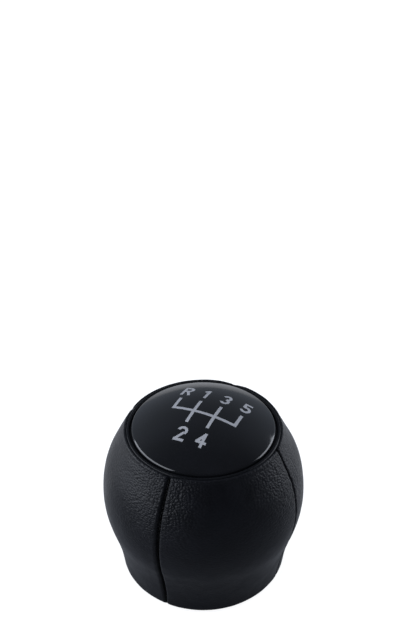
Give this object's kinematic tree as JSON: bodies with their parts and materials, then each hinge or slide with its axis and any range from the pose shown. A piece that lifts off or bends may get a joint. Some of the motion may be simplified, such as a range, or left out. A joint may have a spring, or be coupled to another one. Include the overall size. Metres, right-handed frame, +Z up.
{
  "type": "gear shift knob",
  "caption": "Round leather-covered gear knob with a domed gloss cap showing a shift pattern with reverse, a satin trim ring and a threaded brass lever seat.",
  "frame": {"origin": "middle of the base ring's underside, the flat that the knob stands on", "axes": "+Z up along the lever's axis, -Y towards the driver, +X to the right of the shift pattern"},
  "size_m": [0.05, 0.05, 0.0487],
  "materials": {
    "cap": "high-gloss moulded dome",
    "print": "light grey filled print, flush with the dome",
    "trim": "satin moulded ring",
    "leather": "black, fine pebbled grain, soft sheen",
    "thread": "bonded sewing thread",
    "foam": "open-cell foam",
    "core": "glass-filled nylon, as moulded",
    "brass": "turned and tapped",
    "base": "fine spark-eroded texture"
  },
  "bodies": {
    "root": {"cap": "cap", "gate_lines": "print", "figure_r": "print", "figure_1": "print", "figure_2": "print", "figure_3": "print", "figure_4": "print", "figure_5": "print", "trim_ring": "trim", "leather_front_left": "leather", "leather_front_right": "leather", "leather_back_left": "leather", "leather_back_right": "leather", "seam_threads": "thread", "foam_front_left": "foam", "foam_front_right": "foam", "foam_back_left": "foam", "foam_back_right": "foam", "core_upper": "core", "core_lower": "core", "lever_insert": "brass", "base_ring": "base"}
  },
  "joints": []
}
